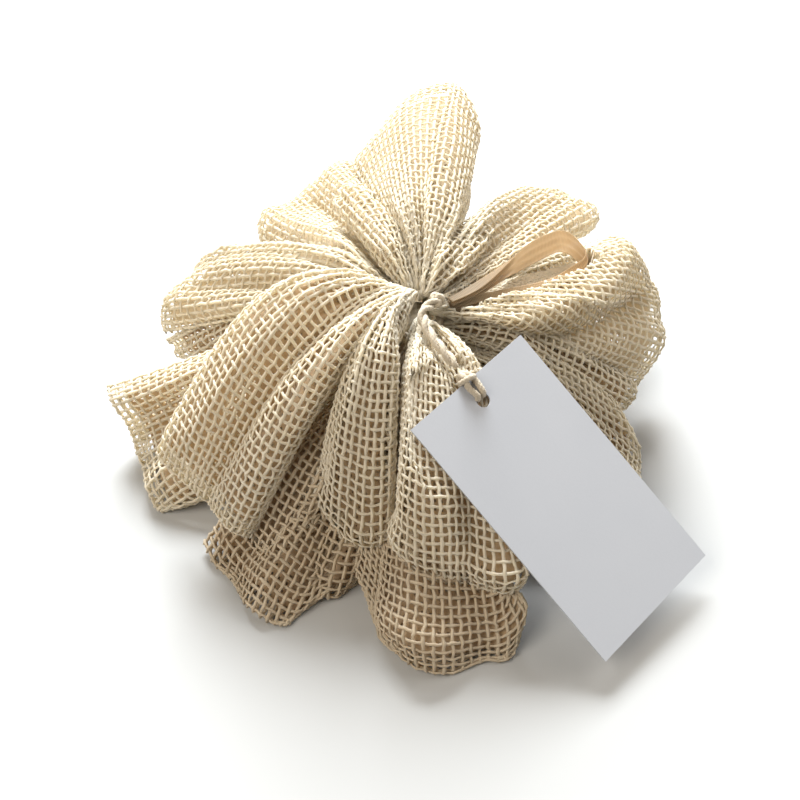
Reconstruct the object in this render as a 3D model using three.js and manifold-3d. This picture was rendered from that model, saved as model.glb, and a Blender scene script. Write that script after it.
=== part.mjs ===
// A gathered cotton-net bath pouf: doubled net lobes round a tied waist, with a card tag on a
// twisted string and a hanging ribbon loop. Millimetres, +Z up. The lobes are laid out round the
// knot, then the whole pouf is centred over its own footprint.
import * as THREE from 'three';
import { mergeVertices } from 'three/addons/utils/BufferGeometryUtils.js';
import Module from 'manifold-3d';

const wasm = await Module();
wasm.setup();

// Driving dimensions
const gap = 0.3;                                   // space left between pieces that touch
const waist = new THREE.Vector2(-6, 2);            // the tied waist stands here
const coreRadius = 6.5;                            // the squeezed bundle of net in the waist
const coreFoot = 9;
const coreTop = 56;
const bindingHeight = 50;                          // where the cord gathers the net
const bindingCord = 2.2;
const floorHeight = 5;                             // the lowest lobes are pressed flat here
const knotCentre = new THREE.Vector3(0, 0, 62);
const knotRadius = 3.1;
const stringDiameter = 3;                          // two soft strands twisted together
const card = { length: 90, width: 50, thick: 0.6, hole: 4.7, holeInset: 7.5 };
const cardCentre = new THREE.Vector3(37.6, -56.8, 35.7);
const cardHeading = -42;                           // degrees, the way the card's long axis points
const cardSlope = 30;                              // degrees down from level
const cardRoll = 3;                                // degrees about its own long axis
const hitch = { halfWidth: 1.4, thick: 1.1, inset: 0.4, slack: 9.4 };   // loop through the hole
const ribbon = { reach: 50, width: 10, rootWidth: 3, thick: 0.8, heading: 29, bottom: 52 };

// The string's way from the knot down to the edge of the card
const stringRoute = [
  [-2.2, -2.9, 62.8], [-4.2, -6, 63.6], [-4.6, -10, 63.8], [-3.2, -14.5, 63.4],
  [-0.6, -19, 62.9], [2.6, -23.5, 62.2], [5.6, -27.3, 61],
];

// Each lobe: the line of its folded rim, how steeply it leaves the waist and falls to the rim
// (degrees), how thick it is, how high its root stands, and how far its two sides bow out.
// The earlier ones lie on top; a later one gives way to them.
const lobes = [
  { name: 'front_left', rise: [30, 12], fall: [40, 50], puff: 9, root: 57, bow: [13, 2],
    rim: [[-89, -37, 30], [-83, -42, 27], [-76, -48, 23], [-71, -52, 20], [-65, -56, 17], [-59, -57, 14]] },
  { name: 'front_column', rise: [8, 8], fall: [65, 65], puff: 12, root: 56, bow: [4, 2],
    rim: [[-36, -45, 22], [-32, -54, 16], [-26, -59, 13], [-19, -62, 12], [-15, -58, 16]] },
  { name: 'crest', rise: [32, 24], fall: [5, 5], puff: 9, root: 53, bow: [0, 4],
    rim: [[-29, 79, 50], [-13, 95, 60], [3, 104, 67], [10, 102, 69], [13, 95, 60], [11, 89, 52],
      [14, 79, 44], [12, 67, 40]] },
  { name: 'small_curl', rise: [25, 25], fall: [10, 10], puff: 7, root: 55, bow: [1, 1],
    rim: [[-34, 49, 57], [-30, 53, 60], [-25, 51, 58]] },
  { name: 'small_right', rise: [14, 22], fall: [5, 5], puff: 5, root: 57, bow: [0, 2],
    rim: [[2, 30, 60], [8, 38, 60], [15, 39, 58], [21, 37, 55]] },
  { name: 'left_upper', rise: [12, 8], fall: [22, 25], puff: 8, root: 50, bow: [4, 3],
    rim: [[-64, 43, 42], [-76, 40, 38], [-87, 37, 34], [-94, 31, 30], [-96, 27, 26], [-93, 23, 22]] },
  { name: 'right_wing', rise: [10, 0], fall: [30, 35], puff: 9, root: 52, bow: [2, 3],
    rim: [[56, 29, 50], [68, 31, 46], [75, 29, 42], [78, 25, 36], [77, 21, 30], [77, 15, 24],
      [75, 10, 18], [70, 7, 13]] },
  { name: 'front_right', rise: [5, 5], fall: [60, 60], puff: 12, root: 50, bow: [3, 6],
    rim: [[-10, -52, 26], [-6, -68, 19], [-1, -74, 16], [8, -77, 16], [19, -80, 15], [23, -77, 17],
      [27, -72, 21]] },
  { name: 'back_right', rise: [10, 8], fall: [15, 15], puff: 9, root: 47, bow: [3, 3],
    rim: [[22, 52, 46], [31, 63, 44], [42, 70, 42], [54, 74, 40], [59, 72, 36], [58, 65, 32]] },
  { name: 'back_veil', rise: [15, 12], fall: [8, 10], puff: 10, root: 47, bow: [3, 3],
    rim: [[-26, 88, 46], [-39, 82, 42], [-52, 76, 36], [-62, 69, 30], [-64, 64, 26]] },
  { name: 'left_fold', rise: [2, 0], fall: [40, 40], puff: 9, root: 44, bow: [3, 3],
    rim: [[-93, 24, 18], [-89, 21, 14], [-77, 19, 14]] },
  { name: 'left_open', rise: [0, -8], fall: [10, 20], puff: 10, root: 38, bow: [6, 4],
    rim: [[-110, -3, 24], [-108, -7, 20], [-104, -13, 15], [-100, -22, 10], [-95, -33, 7],
      [-91, -42, 6], [-84, -40, 6]] },
  { name: 'right_fold', rise: [0, 0], fall: [30, 30], puff: 8, root: 44, bow: [2, 2],
    rim: [[61, -5, 11], [67, -2, 11], [68, 2, 14], [65, 5, 17], [55, 7, 22]] },
  { name: 'right_low', rise: [-8, -10], fall: [35, 35], puff: 9, root: 40, bow: [3, 3],
    rim: [[56, -39, 6], [66, -30, 6], [70, -24, 8], [68, -19, 11], [63, -15, 14], [55, -11, 17]] },
  { name: 'card_bed', rise: [-12, -12], fall: [40, 40], puff: 9, root: 37, bow: [3, 3],
    rim: [[30, -60, 9], [38, -58, 8], [47, -51, 7], [54, -42, 7]] },
  { name: 'right_tip', rise: [-2, -2], fall: [20, 20], puff: 8, root: 38, bow: [2, 3],
    rim: [[59, 51, 34], [68, 55, 32], [73, 52, 30], [75, 47, 28]] },
  { name: 'small_front', rise: [-15, -15], fall: [45, 45], puff: 8, root: 40, bow: [2, 2],
    rim: [[-61, -51, 11], [-56, -55, 8], [-50, -58, 6], [-46, -55, 8], [-44, -48, 14]] },
  { name: 'front_lower', rise: [-8, -8], fall: [50, 50], puff: 8, root: 33, bow: [4, 4],
    rim: [[-17, -62, 10], [-20, -76, 6], [-18, -89, 4], [-11, -96, 4], [-1, -100, 4], [10, -100, 4],
      [21, -98, 4], [23, -88, 8]] },
  { name: 'under_column', rise: [-20, -20], fall: [45, 45], puff: 7, root: 28, bow: [2, 2],
    rim: [[-43, -62, 7], [-38, -71, 4], [-32, -74, 4], [-27, -70, 5], [-25, -63, 9]] },
  { name: 'floor_left', rise: [-12, -12], fall: [25, 25], puff: 7, root: 26, bow: [3, 3],
    rim: [[-75, -55, 7], [-68, -67, 4], [-57, -79, 4], [-47, -86, 4], [-41, -79, 5], [-36, -67, 8]] },
  { name: 'back_low_left', rise: [-15, -15], fall: [25, 25], puff: 9, root: 32, bow: [4, 4],
    rim: [[-72, 8, 6], [-79, 22, 4], [-75, 38, 4], [-66, 48, 4], [-54, 54, 6]] },
  { name: 'back_low_mid', rise: [-15, -15], fall: [25, 25], puff: 9, root: 26, bow: [4, 4],
    rim: [[-38, 66, 6], [-24, 76, 4], [-6, 78, 4], [10, 74, 4], [20, 64, 6]] },
  { name: 'back_low_right', rise: [-15, -15], fall: [25, 25], puff: 9, root: 32, bow: [4, 4],
    rim: [[36, 56, 6], [50, 50, 4], [60, 38, 4], [64, 24, 4], [62, 10, 6]] },
];
const rootRadius = 3;        // lobes start this far from the waist's middle, inside the core
const rootFan = 0.6;         // how far the roots fan out towards their own point of the rim
const across = 9;            // facets across a lobe
const along = 7;             // facets from waist to rim

const radians = THREE.MathUtils.degToRad;
const lerp = THREE.MathUtils.lerp;

function mesh(name, geometry, color, roughness) {
  const material = new THREE.MeshStandardMaterial({ color, roughness, metalness: 0 });
  const result = new THREE.Mesh(geometry, material);
  result.name = name;
  return result;
}

function toSolid(geometry) {
  const bare = geometry.clone();
  bare.deleteAttribute('normal');
  bare.deleteAttribute('uv');
  const merged = mergeVertices(bare, 1e-4);
  return new wasm.Manifold(new wasm.Mesh({
    numProp: 3,
    vertProperties: new Float32Array(merged.attributes.position.array),
    triVerts: new Uint32Array(merged.index.array),
  }));
}

function toGeometry(solid) {
  const { vertProperties, triVerts, numProp } = solid.getMesh();
  const geometry = new THREE.BufferGeometry();
  const positions = new Float32Array((vertProperties.length / numProp) * 3);
  for (let i = 0; i < positions.length / 3; i += 1) {
    positions.set(vertProperties.subarray(i * numProp, i * numProp + 3), i * 3);
  }
  geometry.setAttribute('position', new THREE.BufferAttribute(positions, 3));
  geometry.setIndex(new THREE.BufferAttribute(new Uint32Array(triVerts), 1));
  geometry.computeVertexNormals();
  return geometry;
}

// the biggest of the separate bodies that a cut may leave
function largestBody(solid) {
  const bodies = solid.decompose();
  return bodies.reduce((best, body) => (body.volume() > best.volume() ? body : best));
}

function box(sizeX, sizeY, sizeZ, x, y, z) {
  return new THREE.BoxGeometry(sizeX, sizeY, sizeZ).translate(x, y, z);
}

// A point of a lobe's middle sheet: u runs across from side to side, v from the root to the rim.
function middlePoint(lobe, rimCurve, outward, u, v) {
  const rim = rimCurve.getPointAt(THREE.MathUtils.clamp(u, 0, 1));
  const toRim = new THREE.Vector2(rim.x, rim.y).sub(waist).normalize();
  const way = outward.clone().lerp(toRim, rootFan).normalize();
  const start = new THREE.Vector3(waist.x + rootRadius * way.x, waist.y + rootRadius * way.y, lobe.root);
  const flat = new THREE.Vector3(rim.x - start.x, rim.y - start.y, 0).normalize();
  const reach = rim.distanceTo(start);
  const rise = radians(lerp(lobe.rise[0], lobe.rise[1], u));
  const fall = radians(lerp(lobe.fall[0], lobe.fall[1], u));
  const leave = start.clone().addScaledVector(flat, 0.4 * reach * Math.cos(rise));
  leave.z += 0.4 * reach * Math.sin(rise);
  const arrive = rim.clone().addScaledVector(flat, -0.35 * reach * Math.cos(fall));
  arrive.z += 0.35 * reach * Math.sin(fall);
  const point = new THREE.CubicBezierCurve3(start, leave, arrive, rim).getPoint(v);
  const side = new THREE.Vector3(-flat.y, flat.x, 0).multiplyScalar(lobe.turn);
  const bow = lerp(-lobe.bow[0], lobe.bow[1], u) * 4 * v * (1 - v);
  return point.addScaledVector(side, bow);
}

// A lobe is a flat pillow: an upper and a lower sheet that meet along the sides and the rim.
function lobeGeometry(lobe, extra) {
  const rimPoints = lobe.rim.map((p) => new THREE.Vector3(...p));
  const rimCurve = new THREE.CatmullRomCurve3(rimPoints, false, 'centripetal');
  const centre = rimCurve.getPointAt(0.5);
  const outward = new THREE.Vector2(centre.x, centre.y).sub(waist).normalize();
  const first = rimCurve.getPointAt(0);
  const last = rimCurve.getPointAt(1);
  lobe.turn = Math.sign(-outward.y * (last.x - first.x) + outward.x * (last.y - first.y));
  const positions = [];
  const upper = [];
  const lower = [];
  const step = 0.01;
  const edge = 1 - step;
  for (let i = 0; i <= across; i += 1) {
    upper.push([]);
    lower.push([]);
    const u = (1 - Math.cos((Math.PI * i) / across)) / 2;
    for (let j = 0; j <= along; j += 1) {
      const v = 1 - (1 - j / along) ** 1.6;
      const at = middlePoint(lobe, rimCurve, outward, u, v);
      const uNear = Math.min(u, edge);
      const vNear = Math.min(v, edge);
      const base = middlePoint(lobe, rimCurve, outward, uNear, vNear);
      const du = middlePoint(lobe, rimCurve, outward, uNear + step, vNear).sub(base);
      const dv = middlePoint(lobe, rimCurve, outward, uNear, vNear + step).sub(base);
      const normal = dv.cross(du).normalize().multiplyScalar(lobe.turn);
      const taper = Math.min(1, 0.15 + v / 0.35);
      const fullness = taper * Math.sqrt(Math.max(0, 1 - (2 * u - 1) ** 2)) * Math.sqrt(1 - v ** 5);
      const half = fullness * (lobe.puff / 2);
      const isEdge = i === 0 || i === across || j === 0 || j === along;
      upper[i].push(positions.length / 3);
      const top = at.clone().addScaledVector(normal, isEdge ? 0 : half);
      positions.push(top.x, top.y, top.z);
      if (isEdge) {
        lower[i].push(upper[i][j]);
      } else {
        lower[i].push(positions.length / 3);
        const under = at.clone().addScaledVector(normal, -half);
        positions.push(under.x, under.y, under.z);
      }
    }
  }
  const index = [];
  for (let i = 0; i < across; i += 1) {
    for (let j = 0; j < along; j += 1) {
      const quads = [[upper, lobe.turn > 0], [lower, lobe.turn < 0]];
      for (const [sheet, flip] of quads) {
        const [a, b, c, d] = [sheet[i][j], sheet[i + 1][j], sheet[i + 1][j + 1], sheet[i][j + 1]];
        index.push(...(flip ? [a, c, b, a, d, c] : [a, b, c, a, c, d]));
      }
    }
  }
  const geometry = new THREE.BufferGeometry();
  geometry.setAttribute('position', new THREE.Float32BufferAttribute(positions, 3));
  geometry.setIndex(index);
  geometry.computeVertexNormals();
  if (extra > 0) {
    const position = geometry.attributes.position;
    const normals = geometry.attributes.normal;
    for (let i = 0; i < position.count; i += 1) {
      const x = position.getX(i) + extra * normals.getX(i);
      const y = position.getY(i) + extra * normals.getY(i);
      position.setXYZ(i, x, y, position.getZ(i) + extra * normals.getZ(i));
    }
  }
  return geometry;
}

function coreGeometry(extra) {
  const [foot, top] = [coreFoot - extra, coreTop + extra];
  const outline = [[0, foot], [3, foot], [coreRadius, coreFoot + 9], [coreRadius, bindingHeight - 4],
    [coreRadius - 1, bindingHeight], [coreRadius - 1, top - 3], [3, top], [0, top]];
  const profile = outline.map(([r, z]) => new THREE.Vector2(r > 0 ? r + extra : 0, z));
  return new THREE.LatheGeometry(profile, 20).rotateX(Math.PI / 2).translate(waist.x, waist.y, 0);
}

function bindingGeometry(extra) {
  const ring = new THREE.TorusGeometry(coreRadius + gap + bindingCord / 2, bindingCord / 2 + extra, 8, 20);
  return ring.translate(waist.x, waist.y, bindingHeight);
}

function knotGeometry(extra) {
  return new THREE.SphereGeometry(knotRadius + extra, 14, 10).translate(...knotCentre.toArray());
}

function tubeGeometry(route, diameter, sides, steps) {
  const section = new THREE.Shape();
  for (let i = 0; i < sides; i += 1) {
    const angle = (2 * Math.PI * i) / sides;
    const x = (diameter / 2) * Math.cos(angle);
    const y = (diameter / 2) * Math.sin(angle);
    if (i === 0) section.moveTo(x, y);
    else section.lineTo(x, y);
  }
  section.closePath();
  const path = new THREE.CatmullRomCurve3(route.map((p) => new THREE.Vector3(...p)));
  return new THREE.ExtrudeGeometry(section, { steps, extrudePath: path });
}

// Pieces of the tag are drawn flat, long axis on X, then turned and lifted into place together.
function placeOnCard(geometry) {
  const turn = new THREE.Euler(radians(cardRoll), radians(cardSlope), radians(cardHeading), 'ZYX');
  const place = new THREE.Matrix4().makeRotationFromEuler(turn).setPosition(cardCentre);
  return geometry.applyMatrix4(place);
}

const holeX = -card.length / 2 + card.holeInset;

function cardGeometry() {
  const sheet = new THREE.Shape();
  sheet.moveTo(-card.length / 2, -card.width / 2);
  sheet.lineTo(card.length / 2, -card.width / 2);
  sheet.lineTo(card.length / 2, card.width / 2);
  sheet.lineTo(-card.length / 2, card.width / 2);
  sheet.closePath();
  const hole = new THREE.Path();
  hole.absarc(holeX, 0, card.hole / 2, 0, 2 * Math.PI, true);
  sheet.holes.push(hole);
  const options = { depth: card.thick, bevelEnabled: false, curveSegments: 12 };
  return placeOnCard(new THREE.ExtrudeGeometry(sheet, options).translate(0, 0, -card.thick / 2));
}

// a band of string round the strip between the hole and the card's edge
function hitchGeometry() {
  const bandOutline = (x0, x1, half, target) => {
    target.moveTo(x0 + half, -half);
    target.lineTo(x1 - half, -half);
    target.absarc(x1 - half, 0, half, -Math.PI / 2, Math.PI / 2, false);
    target.lineTo(x0 + half, half);
    target.absarc(x0 + half, 0, half, Math.PI / 2, (3 * Math.PI) / 2, false);
    return target;
  };
  const innerHalf = card.thick / 2 + gap;
  const outerStart = holeX - hitch.slack - hitch.thick;
  const outerEnd = holeX - hitch.inset;
  const outline = bandOutline(outerStart, outerEnd, innerHalf + hitch.thick, new THREE.Shape());
  outline.holes.push(bandOutline(outerStart + hitch.thick, outerEnd - hitch.thick, innerHalf, new THREE.Path()));
  const band = new THREE.ExtrudeGeometry(outline, {
    depth: 2 * hitch.halfWidth, bevelEnabled: false, curveSegments: 5,
  });
  return placeOnCard(band.translate(0, 0, -hitch.halfWidth).rotateX(-Math.PI / 2));
}

// A teardrop seen from above: the two legs of the ribbon leave the waist together and part.
function ribbonOutline(inset, target) {
  const start = ribbon.thick / 2 + inset;
  const end = ribbon.reach - inset;
  const half = 8 - inset;
  target.moveTo(start, 0);
  target.bezierCurveTo(ribbon.reach * 0.4, -1 + inset, ribbon.reach * 0.55, -half, end - 5, -half);
  target.bezierCurveTo(end - 1, -half, end, -half * 0.6, end, 0);
  target.bezierCurveTo(end, half * 0.6, end - 1, half, end - 5, half);
  target.bezierCurveTo(ribbon.reach * 0.55, half, ribbon.reach * 0.4, 1 - inset, start, 0);
  return target;
}

function placeRibbon(geometry) {
  return geometry.rotateZ(radians(ribbon.heading)).translate(knotCentre.x + 4, knotCentre.y + 2.5, 0);
}

function ribbonSolid() {
  const outline = ribbonOutline(0, new THREE.Shape());
  outline.holes.push(ribbonOutline(ribbon.thick, new THREE.Path()));
  const wall = new THREE.ExtrudeGeometry(outline, {
    depth: ribbon.width, bevelEnabled: false, curveSegments: 7,
  }).translate(0, 0, ribbon.bottom);
  const middle = ribbon.bottom + ribbon.width / 2;
  const gather = new THREE.Shape();
  gather.moveTo(-1, middle - ribbon.rootWidth / 2);
  gather.lineTo(ribbon.reach * 0.35, ribbon.bottom - 1);
  gather.lineTo(ribbon.reach + 5, ribbon.bottom - 1);
  gather.lineTo(ribbon.reach + 5, ribbon.bottom + ribbon.width + 1);
  gather.lineTo(ribbon.reach * 0.35, ribbon.bottom + ribbon.width + 1);
  gather.lineTo(-1, middle + ribbon.rootWidth / 2);
  gather.closePath();
  const taper = new THREE.ExtrudeGeometry(gather, { depth: 40, bevelEnabled: false });
  taper.rotateX(Math.PI / 2).translate(0, 20, 0);
  return toSolid(placeRibbon(wall)).intersect(toSolid(placeRibbon(taper)));
}

// Room that the lobes leave: the tag above them, the string, the ribbon's loop and the floor.
function clearance() {
  const overCard = placeOnCard(box(120, 120, 60, 5, 0, 30 - card.thick / 2 - 1));
  const underHitch = placeOnCard(box(22, 8, 10, holeX - 4, 0, 5 - 2.6));
  const string = tubeGeometry(stringRoute, stringDiameter + 1.6, 8, 14);
  const loop = new THREE.ExtrudeGeometry(ribbonOutline(-0.8, new THREE.Shape()), {
    depth: 30, bevelEnabled: false, curveSegments: 7,
  }).translate(0, 0, ribbon.bottom - 1);
  const floor = box(400, 400, 100, 0, 0, floorHeight - 50);
  const rooms = [underHitch, string, placeRibbon(loop), floor, coreGeometry(gap), bindingGeometry(gap),
    knotGeometry(2 * gap)];
  return rooms.reduce((sum, room) => sum.add(toSolid(room)), toSolid(overCard));
}

const netColor = 0xe9dcc0;
const pouf = new THREE.Group();

pouf.add(mesh('net_core', coreGeometry(0), 0xdccba8, 0.95));
pouf.add(mesh('binding_cord', bindingGeometry(0), 0xd8cdb8, 0.9));
pouf.add(mesh('string_knot', knotGeometry(0), 0xddd6c8, 0.85));
pouf.add(mesh('tag_string', tubeGeometry(stringRoute, stringDiameter, 8, 12), 0xe2ddd2, 0.85));
pouf.add(mesh('string_hitch', hitchGeometry(), 0xe2ddd2, 0.85));
pouf.add(mesh('tag_card', cardGeometry(), 0xc8cacd, 0.7));
pouf.add(mesh('hanging_ribbon', toGeometry(ribbonSolid()), 0xdcc49c, 0.8));

let taken = clearance();
for (const lobe of lobes) {
  const solid = largestBody(toSolid(lobeGeometry(lobe, 0)).subtract(taken));
  pouf.add(mesh(`lobe_${lobe.name}`, toGeometry(solid), netColor, 0.95));
  taken = taken.add(toSolid(lobeGeometry(lobe, gap * 1.4)));
}

const bounds = new THREE.Box3().setFromObject(pouf);
const middle = bounds.getCenter(new THREE.Vector3());
pouf.position.set(-middle.x, -middle.y, -bounds.min.z);

export default pouf;
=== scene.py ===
import math
import bpy
import numpy as np
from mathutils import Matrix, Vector


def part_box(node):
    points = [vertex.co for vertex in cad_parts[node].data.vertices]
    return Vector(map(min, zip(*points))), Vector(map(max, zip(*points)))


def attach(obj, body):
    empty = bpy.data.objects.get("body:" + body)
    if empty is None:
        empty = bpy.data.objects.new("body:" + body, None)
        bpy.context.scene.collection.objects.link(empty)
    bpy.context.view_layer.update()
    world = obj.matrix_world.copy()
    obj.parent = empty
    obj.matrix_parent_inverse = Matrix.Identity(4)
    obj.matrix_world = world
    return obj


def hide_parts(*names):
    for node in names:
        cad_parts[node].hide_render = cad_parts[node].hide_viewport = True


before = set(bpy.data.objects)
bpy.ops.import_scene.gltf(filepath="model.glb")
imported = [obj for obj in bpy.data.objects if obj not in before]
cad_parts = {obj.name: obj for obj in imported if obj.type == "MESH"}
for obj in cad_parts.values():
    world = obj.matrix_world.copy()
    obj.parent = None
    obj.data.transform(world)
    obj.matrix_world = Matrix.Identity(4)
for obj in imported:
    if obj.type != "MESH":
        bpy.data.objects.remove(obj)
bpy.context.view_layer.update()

mm = 0.001
up = np.array([0.0, 0.0, 1.0])

# The card ties this script's drawing, in millimetres round the knot, to the CAD frame.
cardDesign = {"centre": (37.6, -56.8, 35.7), "heading": -42, "slope": 30, "roll": 3,
              "length": 90, "width": 50, "thick": 0.6, "hole": 4.7, "holeInset": 7.5}
knotCentre = np.array([0, 0, 62.0])
cardLow, cardHigh = (np.array(corner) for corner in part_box("tag_card"))
drawingOrigin = (cardLow + cardHigh) / 2 - np.array(cardDesign["centre"]) * mm
floorDrawn = -drawingOrigin[2] / mm  # the floor's height in the drawing


def place(points):
    return np.asarray(points, float) * mm + drawingOrigin


def deselectAll():
    bpy.ops.object.select_all(action="DESELECT")


cameraDesign = {"at": (-11.7, -309, 381), "elevation": 50, "lens": 63, "sensor": 36, "nearest": 0.01}


def makeCamera():
    data = bpy.data.cameras.new("studioCamera")
    camera = bpy.data.objects.new("studioCamera", data)
    bpy.context.scene.collection.objects.link(camera)
    camera.location = place(cameraDesign["at"])
    camera.rotation_euler = (math.radians(90 - cameraDesign["elevation"]), 0, 0)
    data.lens = cameraDesign["lens"]
    data.sensor_width = cameraDesign["sensor"]
    data.clip_start = cameraDesign["nearest"]
    bpy.context.scene.camera = camera


lightDesign = {
    "key": {"at": (-0.12, 0.95, 0.74), "size": 0.6, "power": 43, "colour": (0.93, 0.975, 1.0)},
    "fill": {"at": (0.9, 0.25, 0.7), "size": 0.8, "power": 6.0, "colour": (1.0, 0.97, 0.92)},
    "front": {"at": (-0.75, -0.45, 0.95), "size": 0.8, "power": 10.0, "colour": (1.0, 0.935, 0.83)},
    "sky": (1.0, 0.92, 0.80), "skyStrength": 0.14,
}


def makeLights():
    for name in ("key", "fill", "front"):
        design = lightDesign[name]
        data = bpy.data.lights.new(name + "Light", "AREA")
        data.size = design["size"]
        data.energy = design["power"]
        data.color = design["colour"]
        lamp = bpy.data.objects.new(name + "Light", data)
        lamp.location = design["at"]
        lamp.rotation_euler = (-Vector(design["at"])).to_track_quat("-Z", "Y").to_euler()
        bpy.context.scene.collection.objects.link(lamp)
    world = bpy.data.worlds.new("studioSky")
    world.use_nodes = True
    sky = world.node_tree.nodes["Background"]
    sky.inputs["Color"].default_value = (*lightDesign["sky"], 1)
    sky.inputs["Strength"].default_value = lightDesign["skyStrength"]
    bpy.context.scene.world = world
    bpy.context.scene.view_settings.view_transform = "Standard"


class Wire:  # one output of a node; arithmetic on it adds Math nodes
    def __init__(self, finish, socket):
        self.finish = finish
        self.socket = socket

    def __add__(self, other):
        return self.finish.math("ADD", self, other)

    def __radd__(self, other):
        return self.finish.math("ADD", other, self)

    def __sub__(self, other):
        return self.finish.math("SUBTRACT", self, other)

    def __rsub__(self, other):
        return self.finish.math("SUBTRACT", other, self)

    def __mul__(self, other):
        return self.finish.math("MULTIPLY", self, other)

    def __rmul__(self, other):
        return self.finish.math("MULTIPLY", other, self)

    def __truediv__(self, other):
        return self.finish.math("DIVIDE", self, other)


class Finish:  # a material with its nodes
    def __init__(self, name, **constants):
        self.material = bpy.data.materials.new(name)
        self.material.use_nodes = True
        self.tree = self.material.node_tree
        self.shader = self.tree.nodes["Principled BSDF"]
        for key, value in constants.items():
            self.shader.inputs[key.replace("_", " ")].default_value = value

    def node(self, kind, settings=None, sockets=None, output=0):
        made = self.tree.nodes.new(kind)
        for key, value in (settings or {}).items():
            setattr(made, key, value)
        for key, value in (sockets or {}).items():
            if isinstance(value, Wire):
                self.tree.links.new(value.socket, made.inputs[key])
            else:
                made.inputs[key].default_value = value
        return Wire(self, made.outputs[output])

    def math(self, operation, a, b):
        return self.node("ShaderNodeMath", {"operation": operation}, {0: a, 1: b})

    def feed(self, name, wire):
        self.tree.links.new(wire.socket, self.shader.inputs[name])

    def place(self, scale):
        coordinates = self.node("ShaderNodeTexCoord", output="Object")
        return self.node("ShaderNodeMapping", None, {"Vector": coordinates, "Scale": (scale,) * 3})

    def noise(self, vector, detail=3, scale=1.0):
        return self.node("ShaderNodeTexNoise", None, {"Vector": vector, "Scale": scale, "Detail": detail})

    def colours(self, factor, a, b):
        return self.node("ShaderNodeMix", {"data_type": "RGBA"}, {0: factor, 6: a, 7: b}, output=2)

    def bump(self, height, strength, distance):
        self.feed("Normal", self.node("ShaderNodeBump", None, {
            "Height": height, "Strength": strength, "Distance": distance}))

    def letLightThrough(self, share, colour):  # thin cloth glows from behind
        glow = self.tree.nodes.new("ShaderNodeBsdfTranslucent")
        glow.inputs["Color"].default_value = (*colour, 1)
        mix = self.tree.nodes.new("ShaderNodeMixShader")
        mix.inputs[0].default_value = share
        self.tree.links.new(self.shader.outputs[0], mix.inputs[1])
        self.tree.links.new(glow.outputs[0], mix.inputs[2])
        self.tree.links.new(mix.outputs[0], self.tree.nodes["Material Output"].inputs["Surface"])


floorDesign = {"size": 6, "under": 0.0003, "colour": (0.505, 0.505, 0.503, 1), "rough": 0.6}


def makeFloor():
    deselectAll()
    bpy.ops.mesh.primitive_plane_add(size=floorDesign["size"], location=(0, 0, -floorDesign["under"]))
    floor = bpy.context.object
    floor.name = "studioFloor"
    bpy.ops.object.transform_apply(location=True, rotation=True, scale=True)
    finish = Finish("floorWhite", Base_Color=floorDesign["colour"], Roughness=floorDesign["rough"])
    floor.data.materials.append(finish.material)


makeCamera()
makeLights()
makeFloor()
print("camera, floor and lights set")

# the net in millimetres: its cells, its threads and how they weave, and the folds at the waist
netDesign = {"waist": (-6, 2), "rootRadius": 4.2, "rootFan": 0.7, "cellAcross": 2.65, "cellAlong": 2.95,
             "thread": 0.545, "flat": 0.66, "knob": 1.15, "sides": 4, "weave": 0.28, "wander": 0.2,
             "ripple": 1.3, "pleat": 1.0, "pleatSpan": 0.25}


# Threads and strands share one UV map: u goes round the thread, v is its length in millimetres.
def threadTwist(finish, turns, pitch):
    uv = finish.node("ShaderNodeUVMap", {"uv_map": "thread"})
    u = finish.node("ShaderNodeSeparateXYZ", None, {0: uv}, output=0)
    v = finish.node("ShaderNodeSeparateXYZ", None, {0: uv}, output=1)
    turn = (u * turns + v / pitch) * (2 * math.pi)
    wave = finish.node("ShaderNodeMath", {"operation": "SINE"}, {0: turn})
    return wave * 0.5 + 0.5


def netFinish(name, light, deep, glow, share):
    finish = Finish(name, Roughness=0.85, Specular_IOR_Level=0.2, Sheen_Weight=0.2, Sheen_Roughness=0.6)
    broad = finish.noise(finish.place(28), 2)
    fine = finish.noise(finish.place(900), 3)
    flecks = finish.noise(finish.place(420), 1)
    cream = finish.colours(broad, deep, light)
    tone = finish.colours(fine * 0.35, cream, (0.95, 0.92, 0.84, 1))
    seed = finish.node("ShaderNodeMapRange", None, {0: flecks, 1: 0.72, 2: 0.78, 3: 0.0, 4: 0.4})
    finish.feed("Base Color", finish.colours(seed, tone, (0.45, 0.33, 0.18, 1)))
    twist = threadTwist(finish, 2, 1.5)
    finish.bump(twist * 0.7 + fine * 0.5, 0.6, 0.00012)
    finish.letLightThrough(share, glow)
    return finish


def liningFinish(name, light, deep, glow, share):  # inner layers of net, woven as a pattern of holes
    finish = netFinish(name, light, deep, glow, share)
    uv = finish.node("ShaderNodeUVMap", {"uv_map": "thread"})
    across = finish.node("ShaderNodeSeparateXYZ", None, {0: uv}, output=0)
    along = finish.node("ShaderNodeSeparateXYZ", None, {0: uv}, output=1)
    waver = (finish.noise(finish.place(160), 2) - 0.5) * 0.8
    bars = []
    for way, cell in ((across, netDesign["cellAcross"]), (along, netDesign["cellAlong"])):
        turn = (way / cell + waver) * math.pi
        wave = finish.node("ShaderNodeMath", {"operation": "COSINE"}, {0: turn})
        bars.append(finish.node("ShaderNodeMath", {"operation": "ABSOLUTE"}, {0: wave}))
    solid = finish.math("MAXIMUM", bars[0], bars[1])
    edge = {0: solid, 1: 0.42, 2: 0.50, 3: 0.0, 4: 1.0}
    finish.feed("Alpha", finish.node("ShaderNodeMapRange", None, edge))
    return finish.material


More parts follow.
